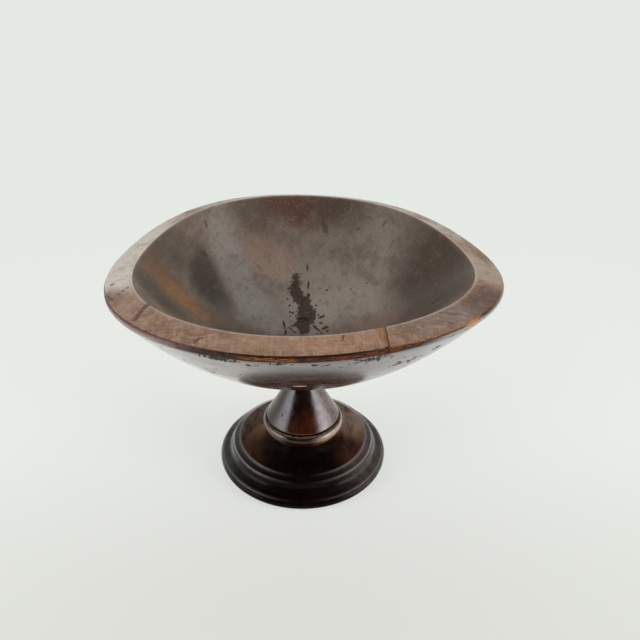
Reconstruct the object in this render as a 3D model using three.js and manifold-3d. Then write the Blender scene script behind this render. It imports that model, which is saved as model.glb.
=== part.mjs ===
// A turned wooden pedestal bowl: a thick bowl with a broad bevelled rim, a cone-shaped stem and a round moulded foot.
// Millimetres, +Z up. The origin is on the foot's axis, at the surface that the bowl stands on.
// -Y is the front. The bowl's grain runs front to back, and the old wood has shrunk and warped across it.

import * as THREE from "three";
import { mergeVertices } from "three/addons/utils/BufferGeometryUtils.js";
import Module from "manifold-3d";

// Clearances between pieces that touch
const SEAT_GAP = 0.3;
const TENON_CLEARANCE = 0.3;
const SCREW_CLEARANCE = 0.3;

// Foot: a round moulded board, hollowed underneath, on a standing ring
const FOOT_RADIUS = 73.6;
const FOOT_BEAD_HEIGHT = 8.4;
const FOOT_BEAD_START = -60;
const FOOT_BEAD_END = 80;
const FOOT_RIDGE_RADIUS = 61.2;
const FOOT_RIDGE_HEIGHT = 19;
const FOOT_BAND_WIDTH = 5.3;
const FOOT_BAND_RISE = 2.7;
const FOOT_SEAT_RADIUS = 30;
const FOOT_SEAT_HEIGHT = 31.5;
const FOOT_RING_OUTER = 70;
const FOOT_RING_WIDTH = 9;
const FOOT_HOLLOW_DEPTH = 6;
const FOOT_HOLLOW_SLOPE = 2.5;
const FOOT_ARRIS = 0.6;
const FOOT_EVEN_SLOPE = 0.35;
const FOOT_SWEEP_POWER = 4;

// Stem: a bead, a cone and a narrow neck that opens to a collar under the bowl
const STEM_BEAD_RADIUS = 34.8;
const STEM_BEAD_HEIGHT = 11.6;
const STEM_BEAD_END = 72;
const STEM_GROOVE_DEPTH = 1;
const STEM_CONE_RADIUS = 31.4;
const STEM_CONE_HEIGHT = 38;
const STEM_CONE_HOLLOW = 0.6;
const STEM_SHOULDER_HEIGHT = 2;
const STEM_ARRIS = 0.5;
const STEM_NECK_RADIUS = 11;
const STEM_NECK_HEIGHT = 3;
const STEM_COVE_HEIGHT = 14.5;
const STEM_COLLAR_RADIUS = 21;
const STEM_COLLAR_THICKNESS = 8.3;
const STEM_COLLAR_STEP = 2;
const STEM_COLLAR_START = -60;
const FOOT_TENON_RADIUS = 11;
const BOWL_TENON_RADIUS = 9;
const BOWL_TENON_LENGTH = 9.5;

// Wedge that spreads the stem's lower tenon in the foot, and the saw cut it is driven into
const WEDGE_LENGTH = 15;
const WEDGE_THICK_END = 2.4;
const WEDGE_THIN_END = 0.8;
const WEDGE_WIDTH = 17;
const SAW_CUT_MARGIN = 1;

// Bowl: radii at the rim are means, before the wood's warp
const BOSS_RADIUS = 24;
const BOSS_HEIGHT = 4;
const BOSS_ARRIS = 1;
const BASE_THICKNESS = 28.5;
const RIM_RADIUS = 150;
const RIM_WIDTH = 20.8;
const RIM_FALL = 2.9;
const HOLLOW_DEPTH = 59;
const HOLLOW_POWER = 2.2;
const OUTSIDE_RISE = 80.3;
const OUTSIDE_POWER = 2;
const ARRIS = 0.8;

// Warp of the bowl, full size at the rim and none at the boss
const WARP_START_RADIUS = 25;
const WARP_FULL_RADIUS = 75;
const OVALNESS = 0.031;
const EGG_SHAPE = 0.0175;
const SQUARENESS = 0.0037;
const RIM_SHIFT_X = 1.5;
const RIM_SHIFT_Y = -0.4;
const FRONT_RISE = 5.3;
const RIGHT_RISE = 0.9;
const SADDLE = 3.6;
const SADDLE_LOW_AZIMUTH = 17;
const CORNER_DROP = 1;
const FRONT_RIPPLE = 0.5;

// Sliver let into a split in the rim at the front right, tapered towards the outside
const PATCH_X = 46.8;
const PATCH_INNER_WIDTH = 7;
const PATCH_OUTER_WIDTH = 4.4;
const PATCH_DEPTH = 5;

// Countersunk iron wood screw, from the bowl's well down into the stem
const SCREW_HEAD_RADIUS = 4.2;
const SCREW_HEAD_HEIGHT = 2.8;
const SCREW_SUNK = 1.4;
const SCREW_SHANK_RADIUS = 2.6;
const SCREW_LENGTH = 46;
const SCREW_THREAD_LENGTH = 22;
const SCREW_THREAD_PITCH = 2.2;
const SCREW_THREAD_DEPTH = 0.5;
const SCREW_SLOT_WIDTH = 1.1;
const SCREW_SLOT_DEPTH = 1;
const SCREW_SLOT_TURN = 20;
const SCREW_HEAD_ARRIS = 0.3;
const SCREW_POINT_RINGS = 4;

// How finely the round pieces are drawn
const BOWL_SIDES = 76;
const FOOT_SIDES = 60;
const STEM_SIDES = 44;
const SCREW_SIDES = 16;
const ARC_STEPS = 5;
const TOP_STEPS = 7;
const BEAD_STEPS = 8;
const CONE_STEPS = 4;
const BOWL_STEPS = 12;

const wasm = await Module();
wasm.setup();

// Joints between the working functions and the library: geometry to solid and back
function solidOf(geometry) {
  const bare = geometry.clone();
  for (const name of Object.keys(bare.attributes)) {
    if (name !== "position") bare.deleteAttribute(name);
  }
  const merged = mergeVertices(bare, 1e-4);
  return new wasm.Manifold(
    new wasm.Mesh({
      numProp: 3,
      vertProperties: new Float32Array(merged.attributes.position.array),
      triVerts: new Uint32Array(merged.index.array),
    }),
  );
}

function geometryOf(solid) {
  const mesh = solid.getMesh();
  const geometry = new THREE.BufferGeometry();
  geometry.setAttribute("position", new THREE.BufferAttribute(mesh.vertProperties, mesh.numProp));
  geometry.setIndex(new THREE.BufferAttribute(mesh.triVerts, 1));
  geometry.computeVertexNormals();
  return geometry;
}

// A profile of [radius, height] pairs, taken anticlockwise, turned round the Z axis
function turned(profile, sides) {
  const points = profile.map(([radius, height]) => new THREE.Vector2(radius, height));
  return new THREE.LatheGeometry(points, sides).rotateX(Math.PI / 2);
}

// Points on an arc of the profile's plane, angles in degrees from the outward direction
function arc(radius, height, size, from, to, steps = ARC_STEPS) {
  return Array.from({ length: steps + 1 }, (_, i) => {
    const angle = THREE.MathUtils.degToRad(from + ((to - from) * i) / steps);
    return [radius + size * Math.cos(angle), height + size * Math.sin(angle)];
  });
}

// Points from one place to another along a curve that starts level and steepens as a power
function swell(from, to, power) {
  return Array.from({ length: BOWL_STEPS + 1 }, (_, i) => {
    const share = i / BOWL_STEPS;
    const radius = from[0] + (to[0] - from[0]) * share;
    const height = from[1] + (to[1] - from[1]) * share ** power;
    return [radius, height];
  });
}

// Heights that the pieces share
const seatHeight = FOOT_SEAT_HEIGHT + SEAT_GAP;
const grooveHeight = seatHeight + STEM_BEAD_HEIGHT;
const coneTop = grooveHeight + STEM_CONE_HEIGHT;
const collarBottom = coneTop + STEM_COVE_HEIGHT;
const collarTop = collarBottom + STEM_COLLAR_THICKNESS;
const bossBottom = collarTop + SEAT_GAP;
const bowlBottom = bossBottom + BOSS_HEIGHT;
const wellHeight = bowlBottom + BASE_THICKNESS;
const rimInnerHeight = wellHeight + HOLLOW_DEPTH;
const rimOuterHeight = rimInnerHeight - RIM_FALL;
const lipHeight = bowlBottom + OUTSIDE_RISE;
const mortiseTop = collarTop + BOWL_TENON_LENGTH + TENON_CLEARANCE;
const screwTop = wellHeight - SCREW_SUNK;
const screwTip = screwTop - SCREW_LENGTH;

// Foot
function footProfile() {
  const bead = FOOT_BEAD_HEIGHT / 2;
  const beadCentre = FOOT_RADIUS - bead;
  const coveEnd = [FOOT_RIDGE_RADIUS + FOOT_ARRIS, FOOT_RIDGE_HEIGHT - 2 * FOOT_ARRIS];
  const coveStart = [beadCentre - FOOT_ARRIS, FOOT_BEAD_HEIGHT + FOOT_ARRIS];
  const bandInner = [FOOT_RIDGE_RADIUS - FOOT_BAND_WIDTH, FOOT_RIDGE_HEIGHT + FOOT_BAND_RISE];
  const hole = FOOT_TENON_RADIUS + TENON_CLEARANCE;
  const ringInner = FOOT_RING_OUTER - FOOT_RING_WIDTH;
  const cove = Array.from({ length: ARC_STEPS + 1 }, (_, i) => {
    const turn = (Math.PI / 2) * (i / ARC_STEPS);
    return [
      coveEnd[0] + (coveStart[0] - coveEnd[0]) * (1 - Math.sin(turn)),
      coveStart[1] + (coveEnd[1] - coveStart[1]) * (1 - Math.cos(turn)),
    ];
  });
  const topRise = FOOT_SEAT_HEIGHT - bandInner[1];
  const top = Array.from({ length: TOP_STEPS }, (_, i) => {
    const share = (i + 1) / TOP_STEPS;
    const radius = bandInner[0] + (FOOT_SEAT_RADIUS - bandInner[0]) * share;
    const sweep = (1 - FOOT_EVEN_SLOPE) * share ** FOOT_SWEEP_POWER;
    return [radius, bandInner[1] + topRise * (FOOT_EVEN_SLOPE * share + sweep)];
  });
  return [
    [hole, FOOT_HOLLOW_DEPTH],
    [ringInner - FOOT_HOLLOW_SLOPE, FOOT_HOLLOW_DEPTH],
    [ringInner, 0],
    [FOOT_RING_OUTER, 0],
    ...arc(beadCentre, bead, bead, FOOT_BEAD_START, FOOT_BEAD_END),
    ...cove,
    [FOOT_RIDGE_RADIUS, FOOT_RIDGE_HEIGHT],
    bandInner,
    ...top,
    [hole, FOOT_SEAT_HEIGHT],
    [hole, FOOT_HOLLOW_DEPTH],
  ];
}

function makeFoot() {
  return turned(footProfile(), FOOT_SIDES);
}

// Stem, with a tenon at each end, a pilot hole for the screw and a saw cut for the wedge
function stemProfile() {
  const bead = STEM_BEAD_HEIGHT / 2;
  const beadCentre = STEM_BEAD_RADIUS - bead;
  const beadMiddle = seatHeight + bead;
  const pilot = SCREW_SHANK_RADIUS + SCREW_CLEARANCE;
  const coneStart = [STEM_CONE_RADIUS - STEM_ARRIS, grooveHeight + STEM_SHOULDER_HEIGHT];
  const coneEnd = [STEM_NECK_RADIUS + STEM_ARRIS, coneTop];
  const cone = Array.from({ length: CONE_STEPS + 1 }, (_, i) => {
    const share = i / CONE_STEPS;
    const hollow = 4 * STEM_CONE_HOLLOW * share * (1 - share);
    return [
      coneStart[0] + (coneEnd[0] - coneStart[0]) * share - hollow,
      coneStart[1] + (coneEnd[1] - coneStart[1]) * share,
    ];
  });
  const coveWidth = STEM_COLLAR_RADIUS - STEM_COLLAR_STEP - STEM_NECK_RADIUS;
  const cove = Array.from({ length: ARC_STEPS }, (_, i) => {
    const turn = (Math.PI / 2) * ((i + 1) / ARC_STEPS);
    return [
      STEM_NECK_RADIUS + coveWidth * (1 - Math.cos(turn)),
      coneTop + STEM_NECK_HEIGHT + (STEM_COVE_HEIGHT - STEM_NECK_HEIGHT) * Math.sin(turn),
    ];
  });
  const collar = STEM_COLLAR_THICKNESS / 2;
  return [
    [0, FOOT_HOLLOW_DEPTH],
    [FOOT_TENON_RADIUS, FOOT_HOLLOW_DEPTH],
    [FOOT_TENON_RADIUS, seatHeight],
    ...arc(beadCentre, beadMiddle, bead, -90, STEM_BEAD_END, BEAD_STEPS),
    [STEM_CONE_RADIUS - STEM_GROOVE_DEPTH, grooveHeight - STEM_ARRIS],
    [STEM_CONE_RADIUS, grooveHeight + STEM_ARRIS],
    ...cone,
    [STEM_NECK_RADIUS, coneTop + STEM_NECK_HEIGHT],
    ...cove,
    ...arc(STEM_COLLAR_RADIUS - collar, collarBottom + collar, collar, STEM_COLLAR_START, 90),
    [BOWL_TENON_RADIUS, collarTop],
    [BOWL_TENON_RADIUS, collarTop + BOWL_TENON_LENGTH],
    [pilot, collarTop + BOWL_TENON_LENGTH],
    [pilot, screwTip - SEAT_GAP],
    [0, screwTip - SEAT_GAP],
  ];
}

// The wedge's outline across the tenon, grown all round by a clearance and begun lower by a margin
function wedgeShape(clearance, margin) {
  const bottom = FOOT_HOLLOW_DEPTH - margin;
  const top = FOOT_HOLLOW_DEPTH + WEDGE_LENGTH + clearance;
  const thick = WEDGE_THICK_END / 2 + clearance;
  const thin = WEDGE_THIN_END / 2 + clearance;
  const half = WEDGE_WIDTH / 2 + clearance;
  const outline = new THREE.Shape([
    new THREE.Vector2(-thick, bottom),
    new THREE.Vector2(thick, bottom),
    new THREE.Vector2(thin, top),
    new THREE.Vector2(-thin, top),
  ]);
  return new THREE.ExtrudeGeometry(outline, { depth: 2 * half, bevelEnabled: false })
    .translate(0, 0, -half)
    .rotateX(Math.PI / 2)
    .rotateZ(Math.PI / 2);
}

function makeStem() {
  const blank = solidOf(turned(stemProfile(), STEM_SIDES));
  return geometryOf(blank.subtract(solidOf(wedgeShape(SEAT_GAP, SAW_CUT_MARGIN))));
}

function makeWedge() {
  return wedgeShape(0, 0);
}

// Bowl, turned round and then warped
function bowlProfile() {
  const mortise = BOWL_TENON_RADIUS + TENON_CLEARANCE;
  const screwHole = SCREW_SHANK_RADIUS + SCREW_CLEARANCE;
  const sink = SCREW_HEAD_RADIUS + SCREW_CLEARANCE;
  const headBottom = screwTop - SCREW_HEAD_HEIGHT;
  const rimInner = RIM_RADIUS - RIM_WIDTH;
  return [
    [screwHole, mortiseTop],
    [mortise, mortiseTop],
    [mortise, bossBottom],
    [BOSS_RADIUS - BOSS_ARRIS, bossBottom],
    [BOSS_RADIUS, bossBottom + BOSS_ARRIS],
    ...swell([BOSS_RADIUS, bowlBottom], [RIM_RADIUS, lipHeight], OUTSIDE_POWER),
    [RIM_RADIUS, rimOuterHeight - ARRIS],
    [RIM_RADIUS - ARRIS, rimOuterHeight],
    [rimInner + ARRIS, rimInnerHeight],
    ...swell([sink, wellHeight], [rimInner, rimInnerHeight - ARRIS], HOLLOW_POWER).reverse(),
    [sink, screwTop],
    [screwHole, headBottom],
    [screwHole, mortiseTop],
  ];
}

// How far the drying wood lifted the rim at an azimuth
function rimLift(azimuth) {
  const saddleTurn = THREE.MathUtils.degToRad(SADDLE_LOW_AZIMUTH);
  return (
    RIGHT_RISE * Math.cos(azimuth) -
    FRONT_RISE * Math.sin(azimuth) -
    SADDLE * Math.cos(2 * (azimuth - saddleTurn)) -
    FRONT_RIPPLE * Math.sin(3 * azimuth) -
    CORNER_DROP * Math.cos(4 * azimuth)
  );
}

// Moves each point of the bowl as the drying wood did
function warped(geometry) {
  const position = geometry.attributes.position;
  for (let i = 0; i < position.count; i++) {
    const x = position.getX(i);
    const y = position.getY(i);
    const radius = Math.hypot(x, y);
    const azimuth = Math.atan2(y, x);
    const reach = THREE.MathUtils.smoothstep(radius, WARP_START_RADIUS, WARP_FULL_RADIUS);
    const atRim = (radius / RIM_RADIUS) ** 2 * reach;
    const shrinkage =
      OVALNESS * Math.cos(2 * azimuth) +
      EGG_SHAPE * Math.sin(3 * azimuth) +
      SQUARENESS * Math.cos(4 * azimuth);
    const plan = 1 - reach * shrinkage;
    position.setXYZ(
      i,
      x * plan + RIM_SHIFT_X * atRim,
      y * plan + RIM_SHIFT_Y * atRim,
      position.getZ(i) + rimLift(azimuth) * atRim,
    );
  }
  return geometry;
}

// The let-in sliver's block, which runs past both edges of the rim, grown all round by a clearance
function patchBlock(clearance) {
  const inner = -Math.sqrt((RIM_RADIUS - RIM_WIDTH) ** 2 - PATCH_X ** 2);
  const outer = -Math.sqrt(RIM_RADIUS ** 2 - PATCH_X ** 2);
  const past = RIM_WIDTH / 2;
  const widening = ((PATCH_INNER_WIDTH - PATCH_OUTER_WIDTH) / (inner - outer)) * past;
  const innerHalf = (PATCH_INNER_WIDTH + widening) / 2 + clearance;
  const outerHalf = (PATCH_OUTER_WIDTH - widening) / 2 + clearance;
  const outline = new THREE.Shape([
    new THREE.Vector2(PATCH_X - outerHalf, outer - past),
    new THREE.Vector2(PATCH_X + outerHalf, outer - past),
    new THREE.Vector2(PATCH_X + innerHalf, inner + past),
    new THREE.Vector2(PATCH_X - innerHalf, inner + past),
  ]);
  const rimHeight = rimOuterHeight + rimLift(Math.atan2(outer, PATCH_X));
  const bottom = rimHeight - PATCH_DEPTH - clearance;
  const depth = 2 * PATCH_DEPTH + RIM_FALL;
  return new THREE.ExtrudeGeometry(outline, { depth, bevelEnabled: false })
    .translate(0, 0, bottom);
}

const wholeBowl = solidOf(warped(turned(bowlProfile(), BOWL_SIDES)));

function makeBowl() {
  return geometryOf(wholeBowl.subtract(solidOf(patchBlock(SEAT_GAP))));
}

function makePatch() {
  return geometryOf(wholeBowl.intersect(solidOf(patchBlock(0))));
}

// Screw, with its thread drawn as rings and a slot across the head
function screwProfile() {
  const rings = Math.floor(SCREW_THREAD_LENGTH / SCREW_THREAD_PITCH);
  const thread = [];
  for (let i = 0; i < rings; i++) {
    const height = screwTip + SCREW_THREAD_PITCH * i + SCREW_THREAD_PITCH / 2;
    const taper = Math.min(1, (i + 1) / SCREW_POINT_RINGS);
    const core = (SCREW_SHANK_RADIUS - SCREW_THREAD_DEPTH) * taper;
    thread.push([core, height]);
    thread.push([core + SCREW_THREAD_DEPTH, height + SCREW_THREAD_PITCH / 2]);
  }
  const shankStart = screwTip + SCREW_THREAD_PITCH * rings + SCREW_THREAD_PITCH / 2;
  return [
    [0, screwTip],
    ...thread,
    [SCREW_SHANK_RADIUS, shankStart],
    [SCREW_SHANK_RADIUS, screwTop - SCREW_HEAD_HEIGHT],
    [SCREW_HEAD_RADIUS, screwTop - SCREW_HEAD_ARRIS],
    [SCREW_HEAD_RADIUS - SCREW_HEAD_ARRIS, screwTop],
    [0, screwTop],
  ];
}

function makeScrew() {
  const blank = solidOf(turned(screwProfile(), SCREW_SIDES));
  const slot = new THREE.BoxGeometry(
    SCREW_HEAD_RADIUS * 3,
    SCREW_SLOT_WIDTH,
    SCREW_SLOT_DEPTH * 2,
  );
  slot.rotateZ(THREE.MathUtils.degToRad(SCREW_SLOT_TURN)).translate(0, 0, screwTop);
  return geometryOf(blank.subtract(solidOf(slot)));
}

// Finishes: dark polished wood, a paler sliver and rusted iron
const darkWood = { color: 0x3a2219, roughness: 0.25, metalness: 0 };
const bowlWood = { color: 0x5a4436, roughness: 0.35, metalness: 0 };
const patchWood = { color: 0x8a5f3c, roughness: 0.6, metalness: 0 };
const wedgeWood = { color: 0x6e5138, roughness: 0.7, metalness: 0 };
const iron = { color: 0x2c2624, roughness: 0.7, metalness: 0.6 };

function piece(name, geometry, finish) {
  const mesh = new THREE.Mesh(geometry, new THREE.MeshStandardMaterial(finish));
  mesh.name = name;
  return mesh;
}

const pedestalBowl = new THREE.Group();
pedestalBowl.add(
  piece("foot", makeFoot(), darkWood),
  piece("stem", makeStem(), darkWood),
  piece("stem_wedge", makeWedge(), wedgeWood),
  piece("bowl", makeBowl(), bowlWood),
  piece("rim_patch", makePatch(), patchWood),
  piece("bowl_screw", makeScrew(), iron),
);

export default pedestalBowl;
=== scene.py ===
import math

import bpy
import numpy as np
from mathutils import Matrix, Vector, noise


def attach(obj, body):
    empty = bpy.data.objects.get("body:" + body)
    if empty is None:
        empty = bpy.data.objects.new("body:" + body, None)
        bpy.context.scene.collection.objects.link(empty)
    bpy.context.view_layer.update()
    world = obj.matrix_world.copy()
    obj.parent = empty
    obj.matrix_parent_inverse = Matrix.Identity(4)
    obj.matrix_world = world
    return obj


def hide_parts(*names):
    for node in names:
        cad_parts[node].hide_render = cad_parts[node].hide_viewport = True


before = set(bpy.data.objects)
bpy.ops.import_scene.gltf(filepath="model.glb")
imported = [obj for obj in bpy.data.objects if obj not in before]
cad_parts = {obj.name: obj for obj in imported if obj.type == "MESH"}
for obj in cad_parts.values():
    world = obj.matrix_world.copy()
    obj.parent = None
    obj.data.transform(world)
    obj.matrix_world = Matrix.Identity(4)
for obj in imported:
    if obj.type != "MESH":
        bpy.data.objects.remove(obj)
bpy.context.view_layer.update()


# The foot
# A flat board of dark wood, turned to a bead, a cove, a sloping band and a low dome, and hollowed underneath
# so that it stands on a ring. It is polished nearly black, warm brown at the dome's sides with its front
# left black as painted shade, and pale at its worn edges, which also carry painted highlights and, on the
# rings at the sides, a painted grey reflection.

MM = 0.001

FOOT_RADIUS = 73.6
FOOT_TENON_HOLE = 11.3
FOOT_HOLLOW_DEPTH = 6
FOOT_HOLLOW_RADIUS = 58.5
FOOT_RING_INNER, FOOT_RING_OUTER = 61, 70
FOOT_RING_BEVEL = (72, 1.2)
FOOT_BEAD = 4.2
FOOT_BEAD_LINE = (71, 7.9)
FOOT_COVE_START = (68.7, 9)
FOOT_COVE_END = (61.7, 17.9)
FOOT_RIDGE = (61.2, 19)
FOOT_BAND_END = (55.9, 21.7)
FOOT_DOME_START = (54, 22.3)
FOOT_EVEN_SLOPE = 0.35
FOOT_SEAT = (30, 31.5)


def arc(radius, height, size, start, end, steps):
    """Points on an arc of the turning's profile, its angles in degrees from the outward direction."""
    angles = np.radians(np.linspace(start, end, steps + 1))
    return [(radius + size * math.cos(a), height + size * math.sin(a)) for a in angles]


def worn(corners, steps=4):
    """A profile's points from its corners, each given as radius, height and how far it is rounded."""
    points = []
    for i, (radius, height, wear) in enumerate(corners):
        at = np.array((radius, height))
        if not wear:
            points.append((radius, height))
            continue
        before = np.array(corners[i - 1][:2]) - at
        after = np.array(corners[(i + 1) % len(corners)][:2]) - at
        start = at + before * min(0.45, wear / np.linalg.norm(before))
        end = at + after * min(0.45, wear / np.linalg.norm(after))
        for share in np.linspace(0, 1, steps + 1):
            points.append(tuple((1 - share) ** 2 * start + 2 * share * (1 - share) * at + share**2 * end))
    return points


def swept(start, end, across, up):
    """Points of a profile from a start to an end, at shares of the way across and of the way up."""
    radii = start[0] + (end[0] - start[0]) * across
    heights = start[1] + (end[1] - start[1]) * up
    return list(zip(radii.tolist(), heights.tolist()))


def divided(points, longest):
    """The same closed profile with no step longer than a length."""
    out = []
    for i, point in enumerate(points):
        after = points[(i + 1) % len(points)]
        count = max(1, math.ceil(math.dist(point, after) / longest))
        out += [tuple(np.array(point) + (np.array(after) - point) * k / count) for k in range(count)]
    return out


def turned_places(profile, azimuths):
    """Places of a turned surface in millimetres, one row for each azimuth."""
    radius, height = np.array(profile).T
    x = np.outer(np.cos(azimuths), radius)
    y = np.outer(np.sin(azimuths), radius)
    return np.stack([x, y, np.broadcast_to(height, x.shape)], -1)


def outward(places):
    """Directions square to a turned surface at each of its places."""
    along = np.roll(places, -1, 1) - np.roll(places, 1, 1)
    onward = np.roll(places, -1, 0) - np.roll(places, 1, 0)
    square = np.cross(onward, along)
    return square / np.maximum(np.linalg.norm(square, axis=-1, keepdims=True), 1e-9)


def edges_of(profile, sharp):
    """How much of an outward edge each point is: 1 where it bends by sharp degrees in a millimetre."""
    here = np.array(profile)
    before = here - np.roll(here, 1, 0)
    after = np.roll(here, -1, 0) - here
    across = before[:, 0] * after[:, 1] - before[:, 1] * after[:, 0]
    turn = np.degrees(np.arctan2(across, (before * after).sum(1)))
    lengths = np.linalg.norm(before, axis=1) + np.linalg.norm(after, axis=1)
    return np.clip(turn / np.maximum(lengths, 0.6) * 2 / sharp, 0, 1)


def near(profile, line, width):
    """How near each point of a profile is to a line round the turning, from 0 to 1 on the line."""
    away = np.linalg.norm(np.array(profile) - line, axis=1)
    return np.exp(-((away / width) ** 2))


def uneven(places, lump, start=0):
    """Smooth chance heights from -1 to 1 at each place, in lumps of a size in millimetres."""
    flat = (places.reshape(-1, 3) / lump + start).tolist()
    return np.array([noise.noise(p) for p in flat]).reshape(places.shape[:2])


def scarred(places, scars, ragged=0.5, lump=1.6):
    """How deep and how bare each place is, from scars given as two ends, half a width and a depth."""
    depth = np.zeros(places.shape[:2])
    bare = np.zeros(places.shape[:2])
    wander = ragged * uneven(places, lump, 7.3)
    for start, end, half_width, deep in scars:
        start = np.array(start, float)
        along = np.array(end, float) - start
        share = np.clip((places - start) @ along / max(along @ along, 1e-9), 0, 1)
        away = np.linalg.norm(places - start - share[..., None] * along, axis=-1)
        inside = np.clip(1.3 - away / half_width + wander, 0, 1)
        inside *= away < 3 * half_width
        depth = np.maximum(depth, deep * inside)
        bare = np.maximum(bare, inside)
    return depth, bare


def placed(name, data):
    """A new object in the scene, made of a mesh, a lamp or a camera."""
    thing = bpy.data.objects.new(name, data)
    bpy.context.scene.collection.objects.link(thing)
    return thing


def turned_piece(name, places, marks):
    """A piece whose mesh runs through a turned grid, with a share from 0 to 1 at each point for a mark."""
    rows, columns = places.shape[:2]
    here = np.arange(rows * columns).reshape(rows, columns)
    along, onward = np.roll(here, -1, 1), np.roll(here, -1, 0)
    faces = np.stack([here, onward, np.roll(onward, -1, 1), along], -1)
    mesh = bpy.data.meshes.new(name)
    mesh.from_pydata((places.reshape(-1, 3) * MM).tolist(), [], faces.reshape(-1, 4).tolist())
    for mark, share in marks.items():
        share = np.broadcast_to(share, (rows, columns)).astype(np.float32)
        mesh.attributes.new(mark, "FLOAT", "POINT").data.foreach_set("value", share.ravel())
    mesh.shade_smooth()
    mesh.set_sharp_from_angle(angle=math.radians(40))
    return placed(name, mesh)


def colour(hex_code):
    """A colour as light, from its usual six-digit code."""
    parts = [int(hex_code[i : i + 2], 16) / 255 for i in (0, 2, 4)]
    return tuple(p / 12.92 if p <= 0.04045 else ((p + 0.055) / 1.055) ** 2.4 for p in parts) + (1,)


def feed(node, inputs):
    """Gives a node's inputs what they take: numbers, colours by their codes, or other nodes' outputs."""
    for key, value in inputs.items():
        if isinstance(value, bpy.types.NodeSocket):
            node.id_data.links.new(value, node.inputs[key])
        else:
            node.inputs[key].default_value = colour(value) if isinstance(value, str) else value


def add(tree, kind, inputs=None, **settings):
    """A new shader node of a kind, with its settings and its inputs."""
    node = tree.nodes.new("ShaderNode" + kind)
    for key, value in settings.items():
        setattr(node, key, value)
    feed(node, inputs or {})
    return node


def vectors(kind, first, second=(0, 0, 0)):
    """One step of arithmetic on places or directions, in the node tree that the first belongs to."""
    return add(first.id_data, "VectorMath", {0: first, 1: second}, operation=kind).outputs


def new_finish(name):
    """A material with one plain shader, and the place on the object in millimetres."""
    material = bpy.data.materials.new(name)
    material.use_nodes = True
    tree = material.node_tree
    tree.nodes.clear()
    shader = add(tree, "BsdfPrincipled")
    add(tree, "OutputMaterial", {"Surface": shader.outputs["BSDF"]})
    coords = add(tree, "TexCoord").outputs["Object"]
    return material, tree, shader, vectors("MULTIPLY", coords, (1 / MM, 1 / MM, 1 / MM))[0]


def cloud(place, size, detail, stretch=(1, 1, 1), rough=0.55, twist=0):
    """Noise from 0 to 1 in lumps about a size across, in millimetres, drawn out by a stretch."""
    laid = vectors("MULTIPLY", place, tuple(1 / (size * s) for s in stretch))[0]
    inputs = {"Vector": laid, "Scale": 1, "Detail": detail, "Roughness": rough, "Distortion": twist}
    return add(place.id_data, "TexNoise", inputs).outputs["Fac"]


def marked(tree, mark):
    """The share of a mark that the mesh carries at each point."""
    return add(tree, "Attribute", attribute_name=mark).outputs["Fac"]


def sums(kind, first, second=0, third=0):
    """One step of arithmetic."""
    return add(first.id_data, "Math", {0: first, 1: second, 2: third}, operation=kind).outputs[0]


def times(first, second):
    """Two values multiplied."""
    return sums("MULTIPLY", first, second)


def scaled(value, factor, offset):
    """A value multiplied by a factor, with an offset added."""
    return sums("MULTIPLY_ADD", value, factor, offset)


def apart(place):
    """The three measures of a place, each as a value: to the right, to the back and up."""
    return add(place.id_data, "SeparateXYZ", {0: place}).outputs


def round_axis(to_right, to_back):
    """How far a place is from the upright axis, and how far it faces the front, from -1 to 1."""
    level = add(to_right.id_data, "CombineXYZ", {0: to_right, 1: to_back}).outputs[0]
    outwards = vectors("NORMALIZE", level)[0]
    return vectors("LENGTH", level)["Value"], times(apart(outwards)[1], -1)


def between(value, low, high, first=0, last=1, course="SMOOTHSTEP"):
    """A value brought from one range to another, smoothly if nothing else is said, and held at its ends."""
    inputs = {"Value": value, "From Min": low, "From Max": high, "To Min": first, "To Max": last}
    return add(value.id_data, "MapRange", inputs, interpolation_type=course).outputs[0]


def over(share, under, top):
    """One colour laid over another by a share."""
    inputs = {0: share, 6: under, 7: top}
    return add(share.id_data, "Mix", inputs, data_type="RGBA", clamp_factor=True).outputs[2]


def mottled(base, layers):
    """A colour with noises laid over it, each given with its range, how much of it shows, and its tone."""
    for value, low, high, share, tone in layers:
        base = over(between(value, low, high, 0, share), base, tone)
    return base


def raised(shader, height, depth):
    """The shader's fine relief, from a height whose full range is a depth in millimetres."""
    bump = add(height.id_data, "Bump", {"Height": height, "Strength": 1, "Distance": depth * MM})
    feed(shader, {"Normal": bump.outputs["Normal"]})


def polished_dark_wood(name, grain, wood, warm, pore, rubbed_and_highlit, gloss):
    """Dark wood under old polish: drawn-out grain, pores, warmer clouds, paler edges that are worn and
    painted with a highlight, and an uneven gloss.
    """
    material, tree, shader, place = new_finish(name)
    figure = cloud(place, 8, 5, grain, 0.6, 0.6)
    pores = cloud(place, 1.4, 3, grain, 0.6)
    clouds = cloud(place, 24, 4)
    speckle = cloud(place, 2.2, 5)
    base = over(between(figure, 0.35, 0.65), wood[0], wood[1])
    base = mottled(base, [(clouds, 0.45, 0.64, 0.8, warm), (pores, 0.56, 0.7, 0.7, pore)])
    # The edges are worn pale and painted with a highlight along them
    edge = times(marked(tree, "rubbed_and_highlit"), between(speckle, 0.35, 0.6, 0.25, 1))
    base = over(edge, base, rubbed_and_highlit)
    scar = marked(tree, "bare")
    base = mottled(base, [(scar, 0.15, 0.75, 0.9, pore)])
    dulled = between(cloud(place, 6, 5), 0.35, 0.7, gloss[0], gloss[1])
    rough = scaled(scar, 0.35, dulled)
    feed(shader, {"Base Color": base, "Roughness": rough, "IOR": 1.5})
    height = scaled(figure, 0.5, times(pores, -0.6))
    raised(shader, height, 0.1)
    return material, tree, shader, place, base


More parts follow.
